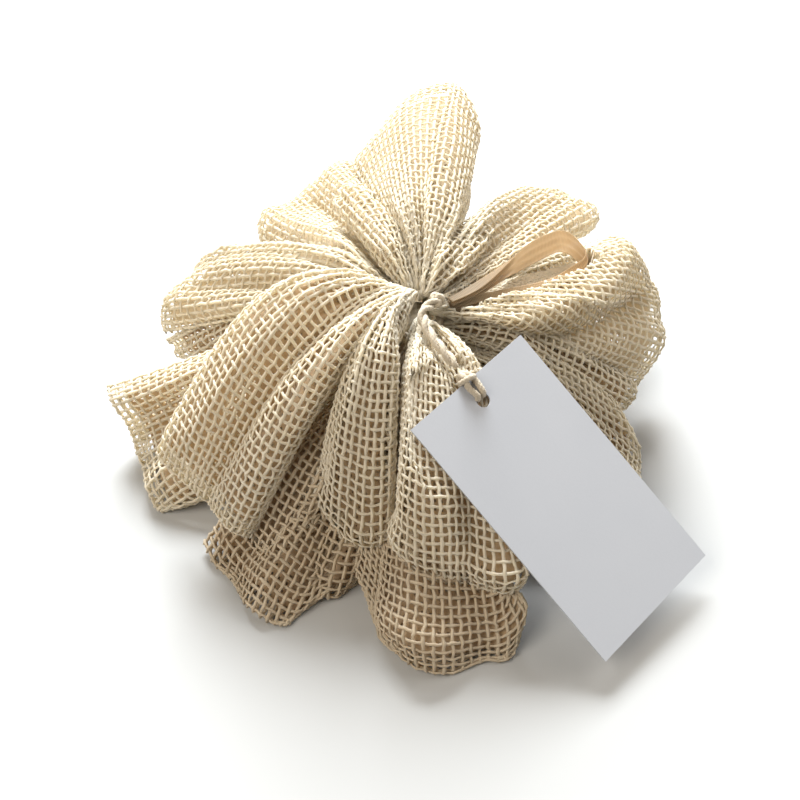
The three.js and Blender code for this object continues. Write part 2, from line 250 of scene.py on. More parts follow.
def stringFinish():
    finish = Finish("softString", Roughness=0.8, Specular_IOR_Level=0.3, Sheen_Weight=0.3)
    fine = finish.noise(finish.place(1500), 4)
    broad = finish.noise(finish.place(160), 2)
    tone = finish.colours(broad, (0.42, 0.34, 0.235, 1), (0.58, 0.49, 0.37, 1))
    finish.feed("Base Color", finish.colours(fine * 0.45, tone, (0.78, 0.70, 0.58, 1)))
    finish.bump(threadTwist(finish, 6, 1.6) * 0.6 + fine, 0.5, 0.00015)
    return finish.material


def ribbonFinish():
    finish = Finish("sheerTape", Roughness=0.6, Specular_IOR_Level=0.35, Sheen_Weight=0.3)
    uv = finish.node("ShaderNodeUVMap", {"uv_map": "tape"})
    across = finish.node("ShaderNodeSeparateXYZ", None, {0: uv}, output=0)
    alongTape = finish.node("ShaderNodeSeparateXYZ", None, {0: uv}, output=1)
    rib = finish.node("ShaderNodeMath", {"operation": "SINE"}, {0: alongTape * (2 * math.pi / 0.55)})
    warp = finish.node("ShaderNodeMath", {"operation": "SINE"}, {0: across * (2 * math.pi * 24)})
    broad = finish.noise(finish.place(120), 3)
    fromTip = finish.node("ShaderNodeMath", {"operation": "ABSOLUTE"}, {0: alongTape - 55})  # half its length
    # painted shade: the tape is darker near its gathered root by the knot, where its creases lie in shade
    rootShade = finish.node("ShaderNodeMapRange", None, {0: fromTip, 1: 18, 2: 46, 3: 0.0, 4: 1.0})
    golden = finish.colours(broad, (0.40, 0.265, 0.135, 1), (0.56, 0.39, 0.21, 1))
    tone = finish.colours(rootShade, golden, (0.26, 0.205, 0.14, 1))
    finish.feed("Base Color", finish.colours(rib * 0.15 + 0.15, tone, (0.70, 0.54, 0.34, 1)))
    finish.feed("Alpha", rib * 0.10 + warp * 0.08 + 0.74)
    finish.bump(rib * 0.5 + warp * 0.35, 0.5, 0.0001)
    finish.letLightThrough(0.35, (0.80, 0.62, 0.40))
    return finish.material


def cardFinish():
    finish = Finish("greyCard", Roughness=0.62, Specular_IOR_Level=0.4)
    pulp = finish.noise(finish.place(1400), 5)
    cloud = finish.noise(finish.place(35), 2)
    tone = finish.colours(cloud, (0.485, 0.502, 0.548, 1), (0.535, 0.548, 0.59, 1))
    finish.feed("Base Color", finish.colours(pulp * 0.25, tone, (0.60, 0.61, 0.64, 1)))
    finish.feed("Roughness", pulp * 0.2 + 0.52)
    finish.bump(pulp, 0.25, 0.00006)
    return finish.material


# two shades of thread, what shines through it from behind, and how much; the low front lobes are of a darker copy
# of the net with painted shade; the linings' amber is painted shade, paler (less shade) in the upper ones at the
# back and the sides, which are backlit
netTones = {
    "net": {"light": (0.95, 0.91, 0.82, 1), "deep": (0.93, 0.84, 0.66, 1), "glow": (0.96, 0.86, 0.64),
            "share": 0.42},
    "shadedNet": {"light": (0.74, 0.63, 0.46, 1), "deep": (0.64, 0.51, 0.33, 1), "glow": (0.90, 0.70, 0.42),
               "share": 0.30},
    "lining": {"light": (0.50, 0.32, 0.14, 1), "deep": (0.36, 0.21, 0.085, 1), "glow": (0.85, 0.56, 0.26),
               "share": 0.15},
    "backlitLining": {"light": (0.76, 0.64, 0.46, 1), "deep": (0.66, 0.51, 0.31, 1),
                   "glow": (0.95, 0.76, 0.46), "share": 0.22},
}
netMaterial = netFinish("unbleachedNet", **netTones["net"]).material
# a darker copy of the net: painted shade for the low front lobes
shadedNetMaterial = netFinish("shadedNet", **netTones["shadedNet"]).material
# the linings' dark amber is painted shade inside the lobes; the paler one, with less painted shade, is for the
# backlit lobes
shadedLiningMaterial = liningFinish("shadedInnerNet", **netTones["lining"])
backlitLiningMaterial = liningFinish("backlitInnerNet", **netTones["backlitLining"])
stringMaterial = stringFinish()
ribbonMaterial = ribbonFinish()
cardMaterial = cardFinish()
print("finishes made")


def meshPiece(name, points, quads, material, uvName=None, uvs=None):
    mesh = bpy.data.meshes.new(name)
    mesh.vertices.add(len(points))
    mesh.vertices.foreach_set("co", np.ascontiguousarray(points, dtype=np.float32).ravel())
    mesh.loops.add(4 * len(quads))
    mesh.loops.foreach_set("vertex_index", quads.astype(np.int32).ravel())
    mesh.polygons.add(len(quads))
    mesh.polygons.foreach_set("loop_start", np.arange(0, 4 * len(quads), 4, dtype=np.int32))
    mesh.polygons.foreach_set("use_smooth", np.ones(len(quads), bool))
    mesh.update(calc_edges=True)
    if uvName:
        layer = mesh.uv_layers.new(name=uvName)
        layer.data.foreach_set("uv", np.ascontiguousarray(uvs, dtype=np.float32).ravel())
    mesh.validate()
    mesh.materials.append(material)
    piece = bpy.data.objects.new(name, mesh)
    bpy.context.scene.collection.objects.link(piece)
    return piece


def unit(vectors):
    return vectors / np.maximum(np.linalg.norm(vectors, axis=-1, keepdims=True), 1e-9)


# Closed loops of thread: paths (loops, rings, 3), outward normals and radii, all in millimetres.
def sweepLoops(paths, normals, radii, sides):
    loops, rings, _ = paths.shape
    tangents = unit(np.roll(paths, -1, 1) - np.roll(paths, 1, 1))
    out = unit(normals - (normals * tangents).sum(-1, keepdims=True) * tangents)
    beside = np.cross(tangents, out)
    angles = 2 * np.pi * np.arange(sides) / sides
    ring = (netDesign["flat"] * np.cos(angles)[:, None] * out[:, :, None, :]
            + np.sin(angles)[:, None] * beside[:, :, None, :])
    points = paths[:, :, None, :] + radii[:, :, None, None] * ring
    loop, j, k = np.meshgrid(np.arange(loops), np.arange(rings), np.arange(sides), indexing="ij")
    after, turn = (j + 1) % rings, (k + 1) % sides

    def corner(a, b):
        return (loop * rings + a) * sides + b
    quads = np.stack([corner(j, k), corner(j, turn), corner(after, turn), corner(after, k)], -1)
    steps = np.linalg.norm(np.roll(paths, -1, 1) - paths, axis=-1)
    start = np.cumsum(steps, 1) - steps
    v0 = np.repeat(start[:, :, None], sides, 2)
    v1 = np.repeat((start + steps)[:, :, None], sides, 2)
    u0, u1 = k / sides, (k + 1) / sides
    uvs = np.stack([u0, v0, u1, v0, u1, v1, u0, v1], -1)
    return points.reshape(-1, 3), quads.reshape(-1, 4), uvs.reshape(-1, 4, 2)


def joinSweeps(sweeps):
    points, quads, uvs, count = [], [], [], 0
    for part in sweeps:
        points.append(part[0])
        quads.append(part[1] + count)
        uvs.append(part[2])
        count += len(part[0])
    return np.concatenate(points), np.concatenate(quads), np.concatenate(uvs)


def smoothLine(points, count, closed=False):  # a Catmull-Rom line at even steps
    points = np.asarray(points, float)
    if closed:
        padded = np.vstack([points[-1], points, points[:2]])
    else:
        padded = np.vstack([2 * points[0] - points[1], points, 2 * points[-1] - points[-2]])
    pieces = []
    t = np.linspace(0, 1, 24, endpoint=False)[:, None]
    for a, b, c, d in zip(padded[:-3], padded[1:-2], padded[2:-1], padded[3:]):
        pieces.append(0.5 * (2 * b + (c - a) * t + (2 * a - 5 * b + 4 * c - d) * t ** 2
                             + (3 * b - a - 3 * c + d) * t ** 3))
    line = np.vstack(pieces + [padded[-2]])
    at = np.concatenate([[0], np.cumsum(np.linalg.norm(np.diff(line, axis=0), axis=1))])
    wanted = np.linspace(0, at[-1], count + 1)[:-1] if closed else np.linspace(0, at[-1], count)
    return np.stack([np.interp(wanted, at, line[:, k]) for k in range(3)], -1)


# Each lobe of the pouf: its folded rim (mm), how steeply it leaves the waist and falls to the rim (degrees),
# thickness, height of its root, how far its sides bow out, and folds as (place across at the root, place at
# the rim, height, width). A hem is a thicker roll at the rim, a wave is how far the rim waves, and a crown is
# where the root stands up beside the knot. Marked low front lobes get the darker net with painted shade; marked
# backlit ones get the paler lining, with less painted shade.
lobeDesigns = [
    {"name": "front_left", "rise": (30, 12), "fall": (40, 50), "puff": 15, "hem": 1, "wave": 1,
     "root": 60.5, "bow": (13, 0), "crown": ((-15, 5, 61), (-6, 0, 65)),
     "folds": [(0.20, 0.20, 2.5, 0.18), (0.72, 0.56, -7.5, 0.10), (0.90, 0.83, 6.0, 0.12)],
     "rim": [(-89, -37, 30), (-83, -42, 27), (-76, -48, 23), (-71, -52, 20), (-65, -56, 17), (-59, -57, 14)]},
    {"name": "front_column", "rise": (8, 8), "fall": (65, 65), "puff": 19, "hem": 3, "root": 60.5,
     "bow": (-3, -6), "crown": ((-12, 0, 63.5), (-6.5, 0, 65.5)),
     "folds": [(0.5, 0.5, 1.0, 0.3)],
     "rim": [(-36, -45, 22), (-32, -54, 16), (-26, -59, 13), (-19, -62, 12), (-15, -58, 16)]},
    {"name": "crest", "backlit": True, "rise": (32, 24), "fall": (5, 5), "puff": 11, "hem": 0.5, "wave": 0.5,
     "root": 56, "bow": (-2, -1),
     "folds": [(0.22, 0.30, 3.0, 0.14), (0.40, 0.50, -5.0, 0.08), (0.62, 0.68, 3.0, 0.11),
               (0.84, 0.84, -5.0, 0.08)],
     "rim": [(-29, 79, 50), (-13, 95, 60), (3, 104, 67), (10, 102, 69), (13, 95, 60), (11, 89, 52),
             (14, 79, 44), (12, 67, 40)]},
    {"name": "small_curl", "backlit": True, "rise": (25, 25), "fall": (10, 10), "puff": 9, "root": 57, "bow": (1, 1),
     "folds": [(0.5, 0.5, 2.0, 0.25)], "rim": [(-34, 49, 57), (-30, 53, 60), (-25, 51, 58)]},
    {"name": "small_right", "backlit": True, "rise": (14, 22), "fall": (5, 5), "puff": 7, "root": 58, "bow": (0, 2),
     "folds": [(0.5, 0.5, 1.5, 0.25)], "rim": [(2, 30, 60), (8, 38, 60), (15, 39, 58), (21, 37, 55)]},
    {"name": "left_upper", "backlit": True, "rise": (12, 8), "fall": (22, 25), "puff": 12, "root": 54, "bow": (4, 3),
     "folds": [(0.25, 0.30, 4.0, 0.18), (0.78, 0.66, -4.5, 0.13)],
     "rim": [(-64, 43, 42), (-76, 40, 38), (-87, 37, 34), (-94, 31, 30), (-96, 27, 26), (-93, 23, 22)]},
    {"name": "right_wing", "backlit": True, "rise": (10, 0), "fall": (30, 35), "puff": 14, "root": 54, "bow": (2, 3),
     "folds": [(1.20, 0.05, 9.0, 0.13), (1.45, 0.34, -8.0, 0.11), (0.72, 0.72, 2.0, 0.20)],
     "rim": [(56, 29, 50), (68, 31, 46), (75, 29, 42), (78, 25, 36), (77, 21, 30), (77, 15, 24),
             (75, 10, 18), (70, 7, 13)]},
    {"name": "front_right", "rise": (5, 5), "fall": (60, 60), "puff": 17, "hem": 4, "root": 55, "bow": (3, 6),
     "folds": [(0.0, 0.0, -14.0, 0.18), (0.36, 0.42, 7.0, 0.16), (0.70, 0.62, -7.0, 0.08),
               (0.88, 0.85, 4.0, 0.1)],
     "rim": [(-10, -52, 26), (-6, -68, 19), (-1, -74, 16), (8, -77, 16), (19, -80, 15), (23, -77, 17),
             (27, -72, 21)]},
    {"name": "back_right", "backlit": True, "rise": (10, 8), "fall": (15, 15), "puff": 14, "root": 51, "bow": (3, 3),
     "folds": [(0.35, 0.35, 6.0, 0.16), (0.7, 0.7, -5.0, 0.1)],
     "rim": [(22, 52, 46), (31, 63, 44), (42, 70, 42), (54, 74, 40), (59, 72, 36), (58, 65, 32)]},
    {"name": "back_veil", "backlit": True, "rise": (15, 12), "fall": (8, 10), "puff": 14, "root": 51, "bow": (3, 3),
     "folds": [(0.2, 0.28, 5.0, 0.11), (0.5, 0.5, -6.0, 0.1), (0.8, 0.74, 5.0, 0.11)],
     "rim": [(-26, 88, 46), (-39, 82, 42), (-52, 76, 36), (-62, 69, 30), (-64, 64, 26)]},
    {"name": "left_fold", "rise": (2, 0), "fall": (40, 40), "puff": 13, "root": 48, "bow": (3, 3),
     "folds": [(0.5, 0.5, 2.5, 0.2)], "rim": [(-93, 24, 18), (-89, 21, 14), (-77, 19, 14)]},
    {"name": "left_open", "rise": (0, -8), "fall": (10, 20), "puff": 15, "root": 43, "bow": (6, 4),
     "folds": [(0.08, 0.14, 7.0, 0.11), (0.30, 0.38, -8.0, 0.12), (0.62, 0.70, 4.0, 0.13)],
     "rim": [(-110, -3, 24), (-108, -7, 20), (-104, -13, 15), (-100, -22, 10), (-95, -33, 7),
             (-91, -42, 6), (-84, -40, 6)]},
    {"name": "right_fold", "rise": (0, 0), "fall": (30, 30), "puff": 10, "root": 47, "bow": (2, 2),
     "folds": [(0.5, 0.5, 2.5, 0.2)],
     "rim": [(61, -5, 11), (67, -2, 11), (68, 2, 14), (65, 5, 17), (55, 7, 22)]},
    {"name": "right_low", "rise": (-8, -10), "fall": (35, 35), "puff": 13, "root": 43, "bow": (3, 3),
     "folds": [(0.25, 0.25, 4.5, 0.12), (0.55, 0.55, -5.5, 0.1), (0.8, 0.8, 3.5, 0.1)],
     "rim": [(56, -39, 6), (66, -30, 6), (70, -24, 8), (68, -19, 11), (63, -15, 14), (55, -11, 17)]},
    {"name": "card_bed", "inShade": True, "rise": (-12, -12), "fall": (40, 40), "puff": 10, "root": 39,
     "bow": (3, 3), "folds": [(0.5, 0.5, -2.0, 0.15)],
     "rim": [(30, -60, 9), (38, -58, 8), (47, -51, 7), (54, -42, 7)]},
    {"name": "right_tip", "backlit": True, "rise": (-2, -2), "fall": (20, 20), "puff": 9, "root": 41, "bow": (2, 3),
     "folds": [(0.4, 0.4, 2.0, 0.2)], "rim": [(59, 51, 34), (68, 55, 32), (73, 52, 30), (75, 47, 28)]},
    {"name": "small_front", "inShade": True, "rise": (-15, -15), "fall": (45, 45), "puff": 12, "root": 43,
     "bow": (2, 2), "folds": [(0.5, 0.5, 3.5, 0.3)],
     "rim": [(-63, -55, 13), (-58, -60, 10), (-51, -63, 8), (-45, -60, 10), (-43, -53, 16)]},
    {"name": "front_lower", "inShade": True, "rise": (-24, -24), "fall": (50, 50), "puff": 8, "hem": 4,
     "root": 36, "bow": (4, 4),
     "folds": [(0.20, 0.13, 4.0, 0.09), (0.32, 0.30, -5.0, 0.08), (0.52, 0.52, 4.0, 0.09),
               (0.78, 0.78, -4.0, 0.1)],
     "rim": [(-17, -62, 10), (-20, -76, 6), (-18, -89, 4), (-11, -96, 4), (-1, -100, 4), (10, -100, 4),
             (21, -98, 4), (23, -88, 8)]},
    {"name": "under_column", "inShade": True, "rise": (-20, -20), "fall": (45, 45), "puff": 9, "root": 31,
     "bow": (2, 2), "folds": [(0.5, 0.5, 2.0, 0.2)],
     "rim": [(-43, -62, 7), (-38, -71, 4), (-32, -74, 4), (-27, -70, 5), (-25, -63, 9)]},
    {"name": "floor_left", "inShade": True, "rise": (-12, -12), "fall": (25, 25), "puff": 8, "hem": 2.5,
     "root": 29, "bow": (3, 3),
     "folds": [(0.25, 0.25, -3.0, 0.1), (0.40, 0.50, 6.0, 0.11), (0.74, 0.74, -5.0, 0.1)],
     "rim": [(-75, -55, 7), (-68, -67, 4), (-57, -79, 4), (-47, -86, 4), (-41, -79, 5), (-36, -67, 8)]},
    {"name": "back_low_left", "rise": (-15, -15), "fall": (25, 25), "puff": 11, "root": 34, "bow": (4, 4),
     "folds": [(0.3, 0.3, 3.5, 0.1), (0.6, 0.6, -3.5, 0.1)],
     "rim": [(-72, 8, 6), (-79, 22, 4), (-75, 38, 4), (-66, 48, 4), (-54, 54, 6)]},
    {"name": "back_low_mid", "rise": (-15, -15), "fall": (25, 25), "puff": 11, "root": 28, "bow": (4, 4),
     "folds": [(0.35, 0.35, 3.5, 0.1), (0.65, 0.65, -3.5, 0.1)],
     "rim": [(-38, 66, 6), (-24, 76, 4), (-6, 78, 4), (10, 74, 4), (20, 64, 6)]},
    {"name": "back_low_right", "rise": (-15, -15), "fall": (25, 25), "puff": 11, "root": 34, "bow": (4, 4),
     "folds": [(0.3, 0.3, -3.5, 0.1), (0.6, 0.6, 3.5, 0.1)],
     "rim": [(36, 56, 6), (50, 50, 4), (60, 38, 4), (64, 24, 4), (62, 10, 6)]},
]


def rimLine(lobe):
    line = smoothLine(lobe["rim"], 401)
    return lambda u: np.stack([np.interp(u, np.linspace(0, 1, 401), line[:, k]) for k in range(3)], -1)


# the middle of a doubled lobe: u goes across from side to side, v from the root to the rim
def middleSheet(lobe, rim, outward, turn, u, v):
    waist = np.array(netDesign["waist"], float)
    end = rim(u)
    way = unit((1 - netDesign["rootFan"]) * outward + netDesign["rootFan"] * unit(end[..., :2] - waist))
    start = np.concatenate([waist + netDesign["rootRadius"] * way, np.full(u.shape + (1,), lobe["root"])], -1)
    if "crown" in lobe:  # its root stands up beside the knot
        first, last = np.array(lobe["crown"], float)
        start = first + (last - first) * u[..., None]
    flat = end - start
    reach = np.linalg.norm(flat, axis=-1, keepdims=True)
    flat[..., 2] = 0
    flat = unit(flat)
    rise = np.radians(lobe["rise"][0] * (1 - u) + lobe["rise"][1] * u)[..., None]
    fall = np.radians(lobe["fall"][0] * (1 - u) + lobe["fall"][1] * u)[..., None]
    leave = start + 0.4 * reach * (np.cos(rise) * flat + np.sin(rise) * up)
    arrive = end - 0.35 * reach * (np.cos(fall) * flat - np.sin(fall) * up)
    w = v[..., None]
    point = (1 - w) ** 3 * start + 3 * (1 - w) ** 2 * w * leave + 3 * (1 - w) * w ** 2 * arrive + w ** 3 * end
    side = turn * np.stack([-flat[..., 1], flat[..., 0], np.zeros_like(u)], -1)
    bow = ((-lobe["bow"][0] - 2) * (1 - u) + (lobe["bow"][1] + 2) * u) * np.sin(np.pi * v ** 0.7)
    return point + bow[..., None] * side


def foldHeight(lobe, u, v, dice):
    height = np.zeros_like(u)
    grow = np.clip(v / 0.3, 0, 1) ** 1.2 * (1 - 0.45 * v ** 3)
    for fromRoot, toRim, rise, width in lobe["folds"]:
        at = fromRoot + (toRim - fromRoot) * v
        height += rise * np.exp(-np.abs((u - at) / width) ** (1.7 if rise > 0 else 1.25)) * grow
    hem = lobe.get("hem", 1.5) * np.exp(-((v - 0.90) / 0.055) ** 2)
    height += hem * (0.7 + 0.5 * np.sin(2 * np.pi * dice.uniform(1.2, 2.2) * u + dice.uniform(0, 2 * np.pi)))
    waves = 2 * np.pi * dice.uniform(2.2, 3.6) * u + dice.uniform(0, 2 * np.pi)
    height += lobe.get("wave", 1.6) * np.sin(waves) * v ** 7
    pleats = dice.uniform(5.5, 8.5)
    phase = dice.uniform(0, 2 * np.pi)
    near = np.exp(-((v - 0.16) / netDesign["pleatSpan"]) ** 2) * np.clip(v / 0.1, 0, 1)
    height += netDesign["pleat"] * near * np.sin(2 * np.pi * pleats * (u + 0.03 * np.sin(9 * v + phase)) + phase)
    return height


def ripples(u, v, dice):
    height = np.zeros_like(u)
    for _ in range(5):
        fu, fv = dice.uniform(0.6, 3.2), dice.uniform(0.3, 2.0)
        height += dice.uniform(0.25, 0.6) * np.sin(2 * np.pi * (fu * u + fv * v) + dice.uniform(0, 2 * np.pi))
    return netDesign["ripple"] * height * np.clip(v / 0.3, 0, 1) * np.clip((1 - v) / 0.15, 0, 1)


# both sheets of a lobe at (u, v), with their outward directions
def lobeSheets(lobe, u, v, seed):
    rim = rimLine(lobe)
    waist = np.array(netDesign["waist"], float)
    outward = unit(rim(np.array(0.5))[:2] - waist)
    ends = rim(np.array(1.0)) - rim(np.array(0.0))
    turn = np.sign(-outward[1] * ends[0] + outward[0] * ends[1])
    step = 0.01
    uNear, vNear = np.clip(u, 0, 1 - step), np.clip(v, 0, 1 - step)
    base = middleSheet(lobe, rim, outward, turn, uNear, vNear)
    du = middleSheet(lobe, rim, outward, turn, uNear + step, vNear) - base
    dv = middleSheet(lobe, rim, outward, turn, uNear, vNear + step) - base
    normal = turn * unit(np.cross(dv, du))
    middle = middleSheet(lobe, rim, outward, turn, u, v)
    opened = np.clip(0.15 + v / 0.35, 0, 1)
    full = opened * np.sqrt(np.clip(1 - (2 * u - 1) ** 2, 0, 1)) * np.sqrt(1 - v ** 5)
    half = full * lobe["puff"] / 2
    fold = foldHeight(lobe, u, v, np.random.default_rng(seed))
    sheets = []
    for layer in (1, -1):
        rough = ripples(u, v, np.random.default_rng(seed + 100 + layer)) * np.sqrt(full)
        sheets.append(middle + normal * (fold + layer * half + rough)[..., None])
    return sheets, turn


def evenPlaces(line, cell):  # cells of even length along a line, and their edges' places on it
    at = np.concatenate([[0], np.cumsum(np.linalg.norm(np.diff(line, axis=0), axis=1))])
    cells = max(4, round(at[-1] / cell))
    return np.interp(np.linspace(0, at[-1], 2 * cells + 1), at, np.linspace(0, 1, len(line)))


stringRoute = [(0, 0, 62), (-2.2, -2.9, 62.8), (-4.2, -6, 63.6), (-4.6, -10, 63.8), (-3.2, -14.5, 63.4),
               (-0.6, -19, 62.9), (2.6, -23.5, 62.2), (5.6, -27.3, 61)]
swingDesign = {"axis": (-0.9722, -0.2343, 0), "string": (15, 30, 45), "card": (-20, -13, -6, 6, 13, 20)}


def stringSweep():  # where the string passes as it swings up at the knot
    line = smoothLine(stringRoute, 40)
    axis = unit(np.array(swingDesign["axis"]))
    swept = [line]
    for degrees in swingDesign["string"]:
        c, k = math.cos(math.radians(degrees)), math.sin(math.radians(degrees))
        arm = line - knotCentre
        swept.append(knotCentre + arm * c + np.cross(axis, arm) * k + np.outer(arm @ axis, axis) * (1 - c))
    return np.concatenate(swept)


def cardFrame():
    h, s, r = (math.radians(cardDesign[key]) for key in ("heading", "slope", "roll"))
    aboutX = np.array([[1, 0, 0], [0, math.cos(r), -math.sin(r)], [0, math.sin(r), math.cos(r)]])
    aboutY = np.array([[math.cos(s), 0, math.sin(s)], [0, 1, 0], [-math.sin(s), 0, math.cos(s)]])
    aboutZ = np.array([[math.cos(h), -math.sin(h), 0], [math.sin(h), math.cos(h), 0], [0, 0, 1]])
    return aboutZ @ aboutY @ aboutX


cardTurn = cardFrame()
cardCentre = np.array(cardDesign["centre"], float)


def onCard(points):  # from the card's own flat frame to the drawing
    return np.asarray(points, float) @ cardTurn.T + cardCentre


def cardTurns():  # where the tag may stand as it swivels about its hole
    pin = cardCentre + cardTurn @ np.array([cardDesign["holeInset"] - cardDesign["length"] / 2, 0, 0])
    axis = cardTurn[:, 2]
    cross = np.array([[0, -axis[2], axis[1]], [axis[2], 0, -axis[0]], [-axis[1], axis[0], 0]])
    for degrees in swingDesign["card"]:
        angle = math.radians(degrees)
        turn = np.eye(3) + math.sin(angle) * cross + (1 - math.cos(angle)) * cross @ cross
        yield turn @ cardTurn, pin + turn @ (cardCentre - pin)


ribbonDesign = {"reach": 49.6, "half": 7.6, "heading": 29, "bottom": 52, "width": 10, "rootWidth": 4.2,
                "opensNear": (34, 49.4), "opensFar": (9, 30), "pleats": 2.5, "pleatDepth": 1.5,
                "thick": 0.28, "foot": (4, 2.5)}

# the room that the net leaves: below the card at rest and turned, below the string as it swings, below the
# ribbon's loop, and above the floor
clearDesign = {"underCard": 1.3, "behindCard": 57, "besideCard": 30, "widens": 0.4, "hole": 37.5,
               "turnedLong": 47, "turnedWide": 27, "turnedOver": 12, "string": 3.1, "underString": 2.9,
               "loopStarts": 1, "loopEnds": 52, "loopHalf": 9, "loopRoot": 2.5, "loopWidens": 0.3,
               "underLoop": 0.9, "overFloor": 0.85}
swept = stringSweep()
swivelled = list(cardTurns())


def pressDown(points, turn, centre, inside):  # points inside the area go below the card's own plane
    local = (points - centre) @ turn
    ceiling = -cardDesign["thick"] / 2 - clearDesign["underCard"]
    local[..., 2] = np.where(inside(local), np.minimum(local[..., 2], ceiling), local[..., 2])
    return local @ turn.T + centre


def besideTag(local):
    room = clearDesign["besideCard"] + clearDesign["widens"] * np.maximum(local[..., 0] + clearDesign["hole"], 0)
    return (local[..., 0] > -clearDesign["behindCard"]) & (np.abs(local[..., 1]) < room)


def underTurned(local):
    long, wide, high = (clearDesign[key] for key in ("turnedLong", "turnedWide", "turnedOver"))
    return (np.abs(local[..., 0]) < long) & (np.abs(local[..., 1]) < wide) & (local[..., 2] < high)


def keepClear(points):
    points = pressDown(points, cardTurn, cardCentre, besideTag)
    for turn, centre in swivelled:
        points = pressDown(points, turn, centre, underTurned)
    near = np.linalg.norm(points[..., None, :2] - swept[:, :2], axis=-1) < clearDesign["string"]
    ceiling = np.where(near, swept[:, 2] - clearDesign["underString"], 1000).min(-1)
    points[..., 2] = np.minimum(points[..., 2], ceiling)
    x, y = points[..., 0] - ribbonDesign["foot"][0], points[..., 1] - ribbonDesign["foot"][1]
    heading = math.radians(ribbonDesign["heading"])
    ahead, aside = x * math.cos(heading) + y * math.sin(heading), y * math.cos(heading) - x * math.sin(heading)
    half = np.minimum(clearDesign["loopHalf"], clearDesign["loopRoot"] + clearDesign["loopWidens"] * ahead)
    inLoop = (ahead > clearDesign["loopStarts"]) & (ahead < clearDesign["loopEnds"]) & (np.abs(aside) < half)
    ceiling = ribbonDesign["bottom"] - clearDesign["underLoop"]
    points[..., 2] = np.where(inLoop, np.minimum(points[..., 2], ceiling), points[..., 2])
    points[..., 2] = np.maximum(points[..., 2], floorDrawn + clearDesign["overFloor"])
    return points


liningDesign = {"rows": 64, "across": (0.05, 0.95), "along": (0.02, 0.94), "stray": 0.35}


def makeLining(lobe, us, vs, seed):  # the layer of net folded inside a lobe
    count = liningDesign["rows"]
    u = np.linspace(*liningDesign["across"], count)
    v = np.linspace(*liningDesign["along"], count)
    (top, bottom), turn = lobeSheets(lobe, *np.meshgrid(u, v, indexing="ij"), seed)
    (otherTop, otherLow), turn = lobeSheets(lobe, *np.meshgrid(u, v, indexing="ij"), seed + 40)
    stray = liningDesign["stray"] * (otherTop - otherLow - top + bottom)
    sheet = keepClear(0.5 * (top + bottom) + stray)
    j, k = np.meshgrid(np.arange(count - 1), np.arange(count - 1), indexing="ij")
    corners = [j * count + k, (j + 1) * count + k, (j + 1) * count + k + 1, j * count + k + 1]
    quads = np.stack(corners, -1)
    width, length = (len(us) // 2) * netDesign["cellAcross"], (len(vs) // 2) * netDesign["cellAlong"]
    u0, u1, v0, v1 = width * u[j], width * u[j + 1], length * v[k], length * v[k + 1]
    uvs = np.stack([u0, v0, u1, v0, u1, v1, u0, v1], -1)
    # painted shade inside the lobe: dark amber, or paler in the backlit lobes
    material = backlitLiningMaterial if lobe.get("backlit") else shadedLiningMaterial
    piece = meshPiece("lining_" + lobe["name"], place(sheet.reshape(-1, 3)), quads.reshape(-1, 4),
                      material, "thread", uvs.reshape(-1, 4, 2))
    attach(piece, "pouf")


